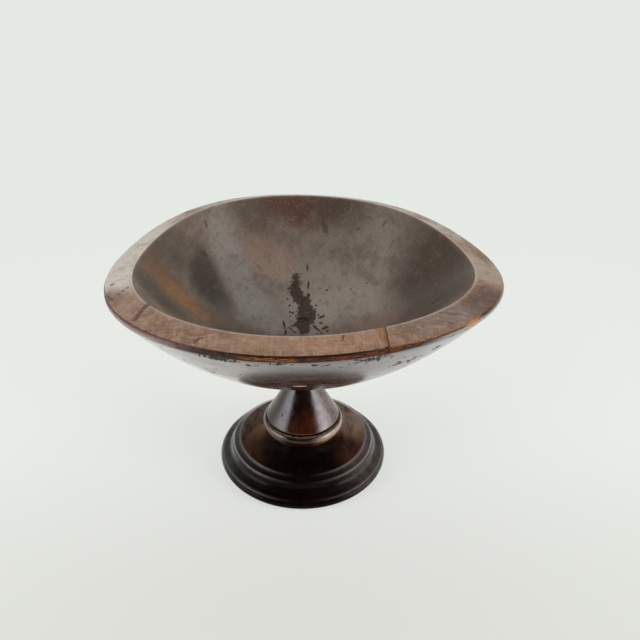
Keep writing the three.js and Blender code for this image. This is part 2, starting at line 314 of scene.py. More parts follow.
foot_corners = [
    (FOOT_TENON_HOLE, FOOT_HOLLOW_DEPTH, 0),
    (FOOT_HOLLOW_RADIUS, FOOT_HOLLOW_DEPTH, 2),
    (FOOT_RING_INNER, 0, 0.5),
    (FOOT_RING_OUTER, 0, 0.8),
    FOOT_RING_BEVEL + (0,),
]
foot_profile = worn(foot_corners)[:-1]
foot_profile += arc(FOOT_RADIUS - FOOT_BEAD, FOOT_BEAD, FOOT_BEAD, -52, 80, 14)
turns = np.linspace(0.04, math.pi / 2, 16)
foot_profile += swept(FOOT_COVE_START, FOOT_COVE_END, np.sin(turns), 1 - np.cos(turns))
ridge_corners = [FOOT_COVE_END + (0,), FOOT_RIDGE + (0.7,), FOOT_BAND_END + (0.6,), FOOT_DOME_START + (0,)]
foot_profile += worn(ridge_corners)[1:-1]
shares = np.linspace(0.06, 1, 20)
dome_rise = FOOT_EVEN_SLOPE * shares + (1 - FOOT_EVEN_SLOPE) * shares**4
foot_profile += swept(FOOT_BAND_END, FOOT_SEAT, shares, dome_rise)
foot_profile += [(FOOT_TENON_HOLE, FOOT_SEAT[1])]
foot_profile = divided(foot_profile, 2)
foot_round = np.radians(np.arange(0, 360, 1))
foot_places = turned_places(foot_profile, foot_round)

# Knocks on the foot: two chips on the bead, a bruise and drawn scratches on the dome
FOOT_SCARS = [
    ((-56.6, -47.6, 6.2), (-54.6, -48.6, 7), 1.3, 0.9),
    ((40.2, -58.6, 8), (42.2, -57.4, 8.2), 1.1, 0.8),
    ((44.6, 14.9, 23), (45.6, 16.2, 22.8), 1.3, 0.5),
    ((-42.4, -12.5, 23.7), (-35.8, -1.5, 25.4), 0.7, 0.35),
    ((-45.4, -6.5, 22.9), (-38, 8, 24.6), 0.5, 0.25),
    ((-33, -42.5, 21.9), (-26.5, -45.5, 22), 0.5, 0.2),
]

# Small knocks that chance spread along the foot's edges, each edge given as its radius and its height
KNOCKED_EDGES = {70.6: 8, 72.9: 6.2, 61.2: 18.9, 56: 21.6}
foot_scars = list(FOOT_SCARS)
chance = np.random.default_rng(11)
for azimuth in chance.uniform(0, 2 * math.pi, 26):
    radius = chance.choice(list(KNOCKED_EDGES))
    knock = (radius * math.cos(azimuth), radius * math.sin(azimuth), KNOCKED_EDGES[radius])
    foot_scars.append((knock, knock, chance.uniform(0.5, 1), chance.uniform(0.15, 0.4)))
foot_depth, foot_bare = scarred(foot_places, foot_scars)
foot_depth += 0.08 * (1 + uneven(foot_places, 9))
foot_places = foot_places - outward(foot_places) * foot_depth[..., None]

# The turned edges, the bead's upper line and the band's end are worn pale and carry a painted highlight,
# which is left out in the middle in front, where no light falls on them
foot_edges = np.clip(1.5 * edges_of(foot_profile, 45) - 0.5, 0, 1)
for line in (FOOT_BEAD_LINE, FOOT_BAND_END):
    foot_edges = np.maximum(foot_edges, 0.5 * near(foot_profile, line, 0.65))
front_without_highlight = np.clip((1 + np.sin(foot_round)) / 0.22, 0, 1)
foot_marks = {"rubbed_and_highlit": np.outer(front_without_highlight, foot_edges), "bare": foot_bare}
foot = turned_piece("turned_foot", foot_places, foot_marks)
foot_finish, tree, shader, place, base = polished_dark_wood(
    "foot_polish", (1, 6, 1), ("040201", "0a0503"), "100705", "030201", "6e6462", (0.15, 0.3)
)

# The dome's sides are a warm brown, paler to the right; towards the front it is painted darker, and in the
# middle in front it is left black, a painted shade
to_right, to_back, height_up = apart(place)
away, to_front = round_axis(to_right, to_back)
aside = sums("ABSOLUTE", sums("ADD", to_right, 2))
aside = between(scaled(to_back, 0.35, aside), 8, 34)
patchy = between(cloud(place, 11, 5, (1, 2.5, 1)), 0.35, 0.62, 0.2, 0.9)
on_dome = times(between(away, 56.2, 54.6, 0.15, 1), between(height_up, 9, 12))
warm_dome_sides = times(times(aside, patchy), on_dome)
back_tone = over(between(to_right, 0, 30), "6a5344", "8c7262")
base = over(warm_dome_sides, base, over(between(to_front, 0.45, -0.2), "3f2519", back_tone))

# The rings outside the dome keep their gloss, and their sides carry a painted grey reflection of the pale
# surroundings, further forward at the right
FRONT_MIDDLE = (-5, 5)
reflection_starts = between(to_right, *FRONT_MIDDLE, 0.88, 0.93)
reflection_full = between(to_right, *FRONT_MIDDLE, 0.1, 0.6)
on_rings = between(away, 54.8, 56.4)
ring_reflection = times(between(to_front, reflection_starts, reflection_full), on_rings)
ring_reflection = times(ring_reflection, between(cloud(place, 7, 5), 0.35, 0.6, 0.6, 1))
base = over(ring_reflection, base, over(between(to_right, *FRONT_MIDDLE), "383b37", "423b37"))

# The edges' painted highlights are paler and grey at the sides, where the side lights catch them
EDGE_HIGHLIGHT_SIDES = (10, 40)
from_middle = sums("ABSOLUTE", to_right)
edge_highlight_share = times(marked(tree, "rubbed_and_highlit"), between(from_middle, *EDGE_HIGHLIGHT_SIDES, 0.7, 1))
base = over(edge_highlight_share, base, over(between(from_middle, *EDGE_HIGHLIGHT_SIDES), "6e6462", "877d7d"))
waxed = times(between(to_front, 0.6, 0.2), on_rings)
feed(shader, {"Base Color": base, "IOR": 1.15})
feed(shader, {"Coat Weight": waxed, "Coat IOR": 1.5, "Coat Roughness": 0.2})
foot.data.materials.append(foot_finish)
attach(foot, "root")
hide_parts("foot")


# The stem
# Turned from one stick of dark wood, grain upright: a bead, a groove, a cone, a narrow neck and a collar
# under the bowl. A tenon at each end is glued into the foot and the bowl, and a pilot hole takes the screw.

NEAR_AXIS = 0.02
STEM_SEAT = 31.8
STEM_TENON = 11
STEM_BEAD_MIDDLE = (29, 37.6)
STEM_BEAD = 5.8
STEM_GROOVE = 43.4
STEM_CONE_BOTTOM = (30.9, 45.4)
STEM_CONE_TOP = (11.5, 81.4)
STEM_CONE_HOLLOW = 2.4
STEM_NECK = (11, 84.4)
STEM_COLLAR_BOTTOM = (19, 95.9)
STEM_COLLAR_MIDDLE = (16.85, 100.05)
STEM_COLLAR = 4.15
STEM_COLLAR_TOP = 104.2
BOWL_TENON = 9
BOWL_TENON_TOP = 113.7
PILOT_HOLE, PILOT_END = 2.9, 89.3
FOOT_TENON_BEVEL, BOWL_TENON_BEVEL = 0.4, 0.3

# The groove's points, each as its radius and its height from the groove's middle
STEM_GROOVE_POINTS = [(31.65, -0.65), (31.2, -0.4), (30.2, -0.25), (30, 0)]
STEM_GROOVE_POINTS += [(30.2, 0.25), (31, 0.4), (31.4, 0.8)]

stem_profile = [
    (NEAR_AXIS, FOOT_HOLLOW_DEPTH),
    (STEM_TENON - FOOT_TENON_BEVEL, FOOT_HOLLOW_DEPTH),
    (STEM_TENON, FOOT_HOLLOW_DEPTH + FOOT_TENON_BEVEL),
    (STEM_TENON, STEM_SEAT),
]
stem_profile += arc(*STEM_BEAD_MIDDLE, STEM_BEAD, -88, 60, 22)
stem_profile += [(radius, STEM_GROOVE + up) for radius, up in STEM_GROOVE_POINTS]
shares = np.linspace(-0.01, 1, 26)
for (radius, height), share in zip(swept(STEM_CONE_BOTTOM, STEM_CONE_TOP, shares, shares), shares):
    stem_profile.append((radius - STEM_CONE_HOLLOW * share * (1 - share), height))
stem_profile += [(11.1, 83), STEM_NECK]
turns = np.linspace(0.1, math.pi / 2, 14)
stem_profile += swept(STEM_NECK, STEM_COLLAR_BOTTOM, 1 - np.cos(turns), np.sin(turns))
stem_profile += arc(*STEM_COLLAR_MIDDLE, STEM_COLLAR, -60, 88, 12)
stem_profile += [
    (BOWL_TENON, STEM_COLLAR_TOP),
    (BOWL_TENON, BOWL_TENON_TOP - BOWL_TENON_BEVEL),
    (BOWL_TENON - BOWL_TENON_BEVEL, BOWL_TENON_TOP),
    (PILOT_HOLE, BOWL_TENON_TOP),
    (PILOT_HOLE, PILOT_END),
    (NEAR_AXIS, PILOT_END),
]
stem_profile = divided(stem_profile, 1.6)
stem_places = turned_places(stem_profile, np.radians(np.arange(0, 360, 2)))

# Knocks on the stem: a dent at the cone's left and two faint scratches
STEM_SCARS = [
    ((-17.7, -18, 55), (-17.4, -18.4, 54), 0.8, 0.35),
    ((-9, -27.5, 49), (-8, -27.6, 46.5), 0.4, 0.15),
    ((21, -22, 47), (24, -18.5, 46.6), 0.4, 0.15),
]
stem_depth, stem_bare = scarred(stem_places, STEM_SCARS)
stem_depth += 0.05 * (1 + uneven(stem_places, 7))
stem_places = stem_places - outward(stem_places) * stem_depth[..., None]
stem_edges = np.clip(1.5 * edges_of(stem_profile, 60) - 0.5, 0, 1)
stem = turned_piece("turned_stem", stem_places, {"rubbed_and_highlit": stem_edges, "bare": stem_bare})


def block_of(name, corners):
    """A block from its eight corners in millimetres: four round the bottom, and the four above them."""
    sides = [(0, 1, 5, 4), (1, 2, 6, 5), (2, 3, 7, 6), (3, 0, 4, 7), (3, 2, 1, 0), (4, 5, 6, 7)]
    mesh = bpy.data.meshes.new(name)
    mesh.from_pydata((np.array(corners) * MM).tolist(), [], sides)
    return placed(name, mesh)


def cut_by(piece, block, how, solver):
    """A piece's mesh with a block cut out of it, or cut down to what lies inside the block."""
    cut = piece.modifiers.new("cut", "BOOLEAN")
    cut.operation = how
    cut.object = block
    cut.solver = solver
    mesh = bpy.data.meshes.new_from_object(piece.evaluated_get(bpy.context.evaluated_depsgraph_get()))
    piece.modifiers.remove(cut)
    block_mesh = block.data
    bpy.data.objects.remove(block)
    bpy.data.meshes.remove(block_mesh)
    return mesh


# The saw cut that the wedge is driven into, across the lower tenon: half its width at its two heights
SAW_CUT_REACH = 8.8
SAW_CUT_HALF = {FOOT_HOLLOW_DEPTH - 1: 1.5, 21.3: 0.7}
saw_cut_corners = [
    (x * SAW_CUT_REACH, y * half, height)
    for height, half in SAW_CUT_HALF.items()
    for x, y in ((-1, -1), (1, -1), (1, 1), (-1, 1))
]
stem.data = cut_by(stem, block_of("saw_cut", saw_cut_corners), "DIFFERENCE", "EXACT")
stem_finish, tree, shader, place, base = polished_dark_wood(
    "stem_polish", (1, 1, 8), ("090302", "160805"), "200e08", "070302", "7a5a3c", (0.16, 0.3)
)
to_right, to_back, height_up = apart(place)

# Warm red wood shows through the cone's lower front, and its right side is painted a lilac grey, partly worn
# wood and partly a painted highlight of the right-hand light
low = times(between(height_up, 68, 50), between(height_up, 43, 45))
low = times(low, between(to_right, -22, 14, 0.3, 0.75))
low = times(low, between(cloud(place, 9, 5), 0.35, 0.6))
base = over(low, base, "451709")
right_side_highlight = times(between(to_right, 9, 17), between(height_up, 44, 46))
grained = between(cloud(place, 3, 5, (1, 1, 3)), 0.35, 0.6, 0.2, 0.6)
base = over(times(right_side_highlight, grained), base, "7d6e6c")

# The bead is dark red low down. At the front right it is painted brown low and lilac grey high, and at the
# left a grey brown: painted highlights where the side lights catch it, the brown partly the wood's own grain
base = over(between(height_up, 38.6, 36.6, 0, 0.8), base, "2e0d08")
bead_top = between(height_up, 42.4, 40)
bead_right_highlight = times(between(to_right, 5, 22), bead_top)
bead_right_highlight = times(bead_right_highlight, between(to_back, 8, -12, 0.3, 1))
bead_grain = between(cloud(place, 3, 5), 0.35, 0.65)
bead_brown = over(bead_grain, "7d4a22", "a06a3a")
base = over(bead_right_highlight, base, over(between(height_up, 36.4, 38.2), bead_brown, "a08c80"))
bead_left_highlight = times(between(to_right, -12, -24), bead_top)
base = over(bead_left_highlight, base, "5a483e")

# The groove over the bead is painted black, and its lower edge is worn to a dull gold
ledge = times(between(height_up, 41.3, 42), between(height_up, 42.8, 42.55))
ledge = times(ledge, between(cloud(place, 4, 5), 0.38, 0.6, 0.15, 0.9))
base = over(ledge, base, "54452f")
groove = times(between(height_up, 42.5, 42.7), between(height_up, 44, 43.7))
base = over(groove, base, "060302")
feed(shader, {"Base Color": base})
stem.data.materials.append(stem_finish)
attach(stem, "root")
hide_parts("stem")


# The wedge
# A thin bare slip of wood, driven up into a saw cut in the stem's lower tenon so that it grips the foot.
# Its end shows underneath, in the foot's hollow.

wedge_finish, tree, shader, place = new_finish("wedge_sawn_wood")
saw_lines = cloud(place, 0.8, 3, (1, 1, 6))
feed(shader, {"Base Color": over(saw_lines, "5f452f", "8a6a4a"), "Roughness": 0.75})
raised(shader, saw_lines, 0.15)
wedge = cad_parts["stem_wedge"]
wedge.data.materials.clear()
wedge.data.materials.append(wedge_finish)


# The bowl
# A thick bowl turned from one board, its grain running front to back, with a broad bevelled rim. It dried
# oval and saddle-shaped. The rim is worn to pale wood and the inside to a grey satin, and the outside keeps
# its gloss.

RIM_RADIUS = 150
RIM_INNER = 129.2
RIM_BEVEL = [(148.3, 193.24), (131, 195.85)]
RIM_EDGE = (130, 195.9)
LIP_HEIGHT = 188.8
LIP_TOP = 193
HOLLOW_TOP = 195.2
HOLLOW_POWER = 2.2
WELL_HEIGHT = 137
SINK_RADIUS = 4.5
SCREW_HOLE = 2.9
BOWL_BOTTOM = 108.5
BOSS_RADIUS = 24
BOSS_BOTTOM = 104.5
TENON_HOLE = 9.3
TENON_HOLE_TOP = 114
OUTSIDE, LIP, RIM, INSIDE = range(4)

# How the board warped as it dried, in millimetres, and as shares of the bowl's width
FRONT_RISE, RIGHT_RISE = 5.3, 0.9
SADDLE, SADDLE_LOW_AZIMUTH = 3.6, math.radians(17)
FRONT_RIPPLE, CORNER_DROP = 0.5, 1
OVALNESS, EGG_SHAPE, SQUARENESS = 0.031, 0.0175, 0.0037
WARP_START, WARP_FULL = 25, 75
RIM_SHIFT = (1.5, -0.4)


def at_back(azimuth):
    """How far an azimuth is to the back, from 0 at the sides and the front to 1."""
    return np.clip(np.sin(azimuth), 0, 1) ** 0.8


def rim_lift(azimuth):
    """How far the drying wood lifted the rim, in millimetres, with a last small rise at the back."""
    return (
        RIGHT_RISE * np.cos(azimuth)
        - FRONT_RISE * np.sin(azimuth)
        - SADDLE * np.cos(2 * (azimuth - SADDLE_LOW_AZIMUTH))
        - FRONT_RIPPLE * np.sin(3 * azimuth)
        - CORNER_DROP * np.cos(4 * azimuth)
        + at_back(azimuth) * (1.7 - 0.5 * np.cos(4 * azimuth))
    )


def warped(places):
    """The turned bowl's places, moved as the drying wood did: nothing at the boss, most at the rim."""
    x, y, z = places[..., 0], places[..., 1], places[..., 2]
    radius, azimuth = np.hypot(x, y), np.arctan2(y, x)
    reach = np.clip((radius - WARP_START) / (WARP_FULL - WARP_START), 0, 1)
    reach = reach * reach * (3 - 2 * reach)
    at_rim = (radius / RIM_RADIUS) ** 2 * reach
    shrinkage = OVALNESS * np.cos(2 * azimuth) + EGG_SHAPE * np.sin(3 * azimuth)
    shrinkage += SQUARENESS * np.cos(4 * azimuth)
    plan = 1 - reach * shrinkage
    lifted = z + rim_lift(azimuth) * at_rim
    return np.stack([x * plan + RIM_SHIFT[0] * at_rim, y * plan + RIM_SHIFT[1] * at_rim, lifted], -1)


boss_points = [(SCREW_HOLE, TENON_HOLE_TOP), (TENON_HOLE, TENON_HOLE_TOP), (TENON_HOLE, 104.8)]
boss_points += [(9.6, BOSS_BOTTOM), (22.8, BOSS_BOTTOM), (23.6, 104.8)]
boss_points += [(BOSS_RADIUS, 105.6), (BOSS_RADIUS, 107.6), (24.3, 108.3)]
shares = np.append(np.linspace(0.012, 0.66, 22), np.linspace(0.67, 0.993, 56))
outside_points = swept((BOSS_RADIUS, BOWL_BOTTOM), (RIM_RADIUS, LIP_HEIGHT), shares, shares**2)
lip_points = [(149.6, 188.55), (149.85, 188.85), (149.97, 189.5), (150, 190.3)]
lip_points += [(149.98, 191.1), (149.85, 191.9), (149.5, 192.6)]
shares = np.linspace(0, 1, 23)
rim_points = [(149, LIP_TOP)] + swept(*RIM_BEVEL, shares, shares) + [(130.3, 195.94), (129.8, 195.92)]
shares = np.linspace(0.993, 0.015, 46)
inside_points = [(129.45, 195.75), (129.25, 195.4)]
inside_points += swept((SINK_RADIUS, WELL_HEIGHT), (RIM_INNER, HOLLOW_TOP), shares, shares**HOLLOW_POWER)
inside_points += [(5.2, WELL_HEIGHT), (4.7, 136.85), (SINK_RADIUS, 136.5)]
inside_points += [(SINK_RADIUS, 135.6), (SCREW_HOLE, 132.8)]
bowl_parts = {OUTSIDE: boss_points + outside_points, LIP: lip_points, RIM: rim_points, INSIDE: inside_points}
bowl_profile = [point for points in bowl_parts.values() for point in points]
bowl_zone = np.concatenate([np.full(len(points), zone) for zone, points in bowl_parts.items()])
bowl_round = np.radians(np.concatenate([np.arange(-152, -28, 0.36), np.arange(-28, 208, 1.18)]))
bowl_places = warped(turned_places(bowl_profile, bowl_round))

# At the back the drying also rolled the rim outwards: its inner edge rose a little and its lip sank
RIM_ROLL_UP, RIM_ROLL_DOWN = 0.8, -2.2
turned_radius, turned_height = np.array(bowl_profile).T
roll = {
    OUTSIDE: np.interp(turned_radius, (125, RIM_RADIUS), (0, RIM_ROLL_DOWN / 2)),
    LIP: np.interp(turned_height, (LIP_HEIGHT, LIP_TOP), (RIM_ROLL_DOWN / 2, RIM_ROLL_DOWN)),
    RIM: np.interp(turned_radius, (RIM_INNER, RIM_RADIUS), (RIM_ROLL_UP, RIM_ROLL_DOWN)),
    INSIDE: np.interp(turned_radius, (105, RIM_INNER), (0, RIM_ROLL_UP)),
}
rolled = sum(roll[zone] * (bowl_zone == zone) for zone in roll)
bowl_places[..., 2] += np.outer(at_back(bowl_round), rolled)

# Marks cut into the rim: a deep gouge at the left, scratches and nicks along it, and a pit at the right
RIM_SCARS = [
    ((-100.2, -82, 196.2), (-104.3, -103.4, 195.7), 1.9, 0.3),
    ((-98.6, -82.6, 196.2), (-101.6, -90, 196), 2.9, 0.25),
    ((-101.6, -90, 195.9), (-104, -99, 195.6), 2.3, 0.4),
    ((-124.6, -64.8, 193.4), (-120.2, -55.2, 194.2), 1.1, 0.5),
    ((-131.5, -64.5, 192.2), (-126.5, -71, 193.2), 0.9, 0.4),
    ((-62.8, -133.6, 198.2), (-60.4, -128.9, 198.6), 1, 0.5),
    ((-95, -117.8, 196.3), (-94.2, -118.4, 196.3), 1.3, 0.5),
    ((-90.6, -121.4, 196.5), (-88.6, -122.6, 196.5), 1.1, 0.4),
    ((23.6, -131.4, 201.7), (23.2, -134.8, 201.5), 0.9, 0.5),
    ((22.2, -137.4, 201.3), (23.2, -136, 201.3), 0.7, 0.3),
    ((121.2, -64.6, 198.5), (122.6, -63, 198.4), 1.5, 0.8),
    ((84.5, -105.2, 202.2), (99, -106, 201.6), 0.75, 0.3),
    ((90, -107.4, 202), (95, -107.2, 201.8), 0.6, 0.25),
    ((88.6, -117, 201.9), (90.6, -117.6, 201.8), 1.2, 0.4),
    ((78.2, -118.5, 202), (78.8, -119.6, 202), 0.8, 0.25),
    ((-134.2, -46.6, 191.6), (-131.2, -44, 192), 1, 0.3),
]

# Flakes lost from the outside's polish: azimuth in degrees, millimetres below the lip, both spreads, count
FLAKE_PATCHES = [
    (-108.8, 1.5, 2.8, 1.5, 88),
    (-75.6, 3.6, 3.4, 3.2, 46),
    (-65.6, 19, 1.1, 2.2, 14),
    (-60.8, 18.6, 1.3, 3, 16),
    (-57.4, 18, 0.5, 0.8, 3),
    (-55.4, 11, 1, 3.4, 10),
    (-96, 1.8, 2, 0.8, 12),
    (-101, 4.6, 2.2, 1, 5),
    (-87, 4.2, 4, 1, 8),
    (-120, 22, 12, 10, 8),
    (60, 14, 150, 16, 40),
]

OUTWARD_LEAN, UPWARD_LEAN = 0.62, 0.78
bowl_scars = list(RIM_SCARS)
outside_grid = bowl_places[:, bowl_zone == OUTSIDE]
drop = LIP_HEIGHT - np.array(bowl_parts[OUTSIDE])[:, 1]
for middle, below, across, tall, count in FLAKE_PATCHES:
    for _ in range(count):
        azimuth = math.radians(chance.normal(middle, across / 1.6))
        row = np.argmin(np.abs(np.remainder(bowl_round - azimuth + math.pi, 2 * math.pi) - math.pi))
        column = np.argmin(np.abs(drop - max(0.4, chance.normal(below, tall / 1.6))))
        at = outside_grid[row, column]
        slip = chance.uniform(0.1, 0.8)
        slant = chance.normal(0, 0.8)
        upward = np.array((OUTWARD_LEAN * math.cos(azimuth), OUTWARD_LEAN * math.sin(azimuth), UPWARD_LEAN))
        ahead = upward + slant * np.array((-math.sin(azimuth), math.cos(azimuth), 0))
        bowl_scars.append((at - ahead * slip, at + ahead * slip, chance.uniform(0.4, 0.85), 0.3))
bowl_depth, bowl_bare = scarred(bowl_places, bowl_scars, 0.7, 1.1)
bowl_depth += 0.1 * (1 + uneven(bowl_places, 11)) * (bowl_zone > OUTSIDE)
lip_wear = np.clip(uneven(bowl_places, 5, 3) + 0.6 * uneven(bowl_places, 1.8, 9), 0, 1)
bowl_depth += 0.45 * lip_wear * (bowl_zone == LIP)

# The rim's inner edge is worn pale and carries a painted highlight, and the lip carries how far down it each
# point lies
bowl_edges = edges_of(bowl_profile, 40)
bowl_edges[turned_radius < RIM_INNER - 1] = 0
bowl_edges[turned_radius > RIM_INNER + 4] = 0
bowl_edges = np.maximum(bowl_edges, 0.8 * near(bowl_profile, RIM_EDGE, 1.3))
lip_down = np.interp(-turned_height, (0.1 - LIP_TOP, 0.1 - LIP_HEIGHT), (0, 1)) * (bowl_zone == LIP)
bowl_places = bowl_places - outward(bowl_places) * bowl_depth[..., None]
bowl_marks = {"rubbed_and_highlit": bowl_edges, "bare": bowl_bare, "lip_down": lip_down}
bowl = turned_piece("turned_bowl", bowl_places, bowl_marks)

# A spot is an upright column that goes through the whole bowl
ENDLESS = 1e6


def spot(place, centre, radii, turn, wander, ragged, soft):
    """A share from 0 to 1 inside an oval on the object, seen from above, its edge moved by a noise."""
    inputs = {"Vector": place, "Location": centre + (0,), "Scale": radii + (ENDLESS,)}
    inputs["Rotation"] = (0, 0, math.radians(turn))
    laid = add(place.id_data, "Mapping", inputs, vector_type="TEXTURE").outputs[0]
    moved = scaled(wander, ragged * 2, -ragged)
    away = sums("ADD", vectors("LENGTH", laid)["Value"], moved)
    return between(away, 1 + soft, 1 - soft)


def toned(place, base, tones, wander, ragged=0.5, soft=0.5):
    """A colour with soft ovals of other tones laid over it: centre, radii, turn, tone and share."""
    for x, y, long, wide, turn, tone, share in tones:
        here = spot(place, (x, y), (long, wide), turn, wander, ragged, soft)
        base = over(times(here, share), base, tone)
    return base


# The outside's polish is thick and mirrors the pale floor. It is matt and dark where flakes are lost. Under
# the front it is duller and painted a warm brown, partly dulled polish and partly a painted dark reflection
# of the foot, and a short pale painted glint crosses it there.
outside_finish, tree, shader, place, base = polished_dark_wood(
    "bowl_outside_polish", (1, 6, 1), ("1b0e09", "2b180c"), "3b2112", "120907", "5a4032", (0.1, 0.2)
)
bare = marked(tree, "bare")
flaked = between(scaled(cloud(place, 0.9, 4), 1.1, bare), 0.72, 1.15)
base = over(flaked, base, "2e2119")
painted_foot_reflection = spot(place, (-4, -122), (64, 16), 0, cloud(place, 5, 5), 0.5, 0.4)
base = over(times(painted_foot_reflection, 0.75), base, "4a241a")
painted_glint = spot(place, (-2, -117), (4.4, 1.4), 0, cloud(place, 1.2, 3), 0.4, 0.3)
base = over(painted_glint, base, "b09c8e")
lost = sums("MAXIMUM", flaked, painted_glint)
coat = times(scaled(lost, -1, 1), scaled(painted_foot_reflection, -0.35, 1))
dulled = between(cloud(place, 6, 5, (3, 3, 1)), 0.35, 0.7, 0.2, 0.36)
rough = scaled(lost, 0.7, dulled)
feed(shader, {"Base Color": base, "Roughness": rough, "IOR": 1.6})
feed(shader, {"Coat Weight": coat, "Coat IOR": 1.6, "Coat Roughness": 0.2})

# The lip is the board's dark skin, worn through to amber in its middle. Along its upper edge it is orange at
# the right, partly amber wood and partly a painted highlight. Along its lower edge at both sides lies a
# painted reflection, grey
# of the pale floor at the right and lilac at the left, and a painted lilac highlight lies over it at the
# left. Ovals:
# centre, half length and width, turn, tone, share.
lip_finish, tree, shader, place = new_finish("lip_dark_polish")
streak = cloud(place, 1.8, 6, (2.8, 1.6, 0.38), 0.72)
down = scaled(streak, 0.5, sums("SUBTRACT", marked(tree, "lip_down"), 0.25))
base = over(between(streak, 0.38, 0.66), "150905", "2f170c")
middle = times(between(down, 0.2, 0.4), between(down, 0.86, 0.66))
LIP_MIDDLES = [
    (-17, -150, 17, 8, 0, "ab5f12", 0.9),
    (42, -149, 34, 7, 8, "7e360e", 0.85),
    (-1, -151, 2.4, 8, 0, "1a0b05", 0.9),
]
worn_middle = toned(place, "3b1d0f", LIP_MIDDLES, streak)
base = over(times(middle, between(streak, 0.41, 0.57)), base, worn_middle)
TOP_LINES_AND_HIGHLIGHT = [(76, -131, 32, 10, 26, "9c6440", 0.8), (-100, -112, 56, 22, -42, "5e3d33", 0.6)]
top_line_and_highlight = toned(place, "2a150c", TOP_LINES_AND_HIGHLIGHT, streak, 0.3)
base = over(between(down, 0.22, 0.06), base, top_line_and_highlight)
LIP_LOWER_REFLECTIONS = [(116, -99, 50, 28, 45, "8f8f88", 0.85), (-116, -96, 46, 30, -46, "9c9190", 0.75)]
lower_lip_reflection = toned(place, base, LIP_LOWER_REFLECTIONS, streak, 0.2, 0.3)
base = over(between(down, 0.4, 0.58), base, lower_lip_reflection)
LIP_LEFT_HIGHLIGHT = [(-104, -110, 42, 20, -45, "7c6a64", 0.6)]
left_lip_highlight = toned(place, base, LIP_LEFT_HIGHLIGHT, streak, 0.9, 0.3)
base = over(between(down, 0.1, 0.28), base, left_lip_highlight)
LIP_RIGHT = [(104, -111, 7, 5, 52, "a8733a", 0.7), (142, -52, 26, 34, 0, "8c7466", 0.7)]
base = toned(place, base, LIP_RIGHT, streak, 0.6, 0.8)
rough = between(streak, 0.3, 0.7, 0.2, 0.45)
feed(shader, {"Base Color": base, "Roughness": rough, "IOR": 1.33})
raised(shader, streak, 0.25)

# The rim is worn to pale wood, with grain lines, flecks and dark scars. It is painted paler and greyer to
# the left and the back, partly the wood's tone and partly a painted sheen where the worn surface catches the
# light
rim_finish, tree, shader, place = new_finish("rim_worn_wood")
figure = cloud(place, 3.4, 6, (1, 7, 1), 0.68, 0.6)
clouds = cloud(place, 17, 6, (1, 1.3, 1), 0.66)
blotch = cloud(place, 6, 6, (1.5, 1, 1), 0.7, 0.5)
fine = cloud(place, 0.7, 3, (1, 7, 1))
fleck = cloud(place, 1.5, 5, (1.4, 1.2, 1), 0.7)
crumb = cloud(place, 2.6, 6, (1.4, 1, 1), 0.75)
base = over(between(figure, 0.36, 0.64), "7b5a43", "a17e64")
RIM_TONES_AND_SHEEN = [
    (0, 140, 170, 60, 0, "c4b8ac", 0.95),
    (126, 66, 22, 22, 0, "b8afa5", 0.9),
    (-138, 14, 34, 78, 0, "ece4db", 1),
    (-114, -88, 28, 22, -50, "a78b79", 0.6),
    (-130, -66, 13, 9, -60, "70504a", 0.7),
    (132, -26, 20, 32, 0, "a99885", 0.9),
    (119, -84, 27, 18, 58, "563f33", 0.95),
    (82, -112, 30, 13, 30, "7d6d62", 0.8),
    (18, -138, 26, 9, 5, "ab7f5d", 0.6),
    (-30, -137, 20, 8, -4, "9c7a5c", 0.6),
]
base = toned(place, base, RIM_TONES_AND_SHEEN, clouds)
RIM_MOTTLES = [
    (clouds, 0.5, 0.64, 0.55, "74543f"),
    (blotch, 0.52, 0.66, 0.5, "6b4c3a"),
    (blotch, 0.45, 0.33, 0.35, "c0aa98"),
    (fine, 0.55, 0.75, 0.5, "5e4333"),
    (crumb, 0.52, 0.64, 0.5, "5f4234"),
    (crumb, 0.47, 0.36, 0.3, "c09c78"),
    (fleck, 0.59, 0.69, 0.6, "4f3828"),
]
base = mottled(base, RIM_MOTTLES)
# A last pale patch at the left, painted sheen
base = toned(place, base, [(-138, 20, 36, 70, 0, "c3b7aa", 0.6)], clouds)
# The inner edge's pale line, worn and painted as a highlight
base = over(times(marked(tree, "rubbed_and_highlit"), 0.5), base, "cbb7a8")
scar = between(scaled(fleck, 0.4, marked(tree, "bare")), 0.4, 1)
base = over(times(scar, 0.9), base, "5e4033")
feed(shader, {"Base Color": base, "Roughness": between(clouds, 0.35, 0.65, 0.32, 0.5)})
raised(shader, sums("ADD", crumb, scaled(figure, 0.6, fine)), 0.1)

# The inside is worn to a grey satin, with amber wood showing at the left, red-brown at the back and a stain
inside_finish, tree, shader, place = new_finish("bowl_inside_worn_polish")
figure = cloud(place, 6, 5, (1, 7, 1), 0.6, 0.4)
clouds = cloud(place, 26, 5, (1, 1.6, 1), 0.6)
fine = cloud(place, 1, 4, (1, 6, 1))
crumb = cloud(place, 3.2, 6, (1, 1.5, 1), 0.7)
blotch = cloud(place, 8, 6, (1, 2.2, 1), 0.7, 0.4)
grit = cloud(place, 2, 4, (1, 1.4, 1), 0.75)
base = over(between(figure, 0.3, 0.7), "6b5c50", "807063")
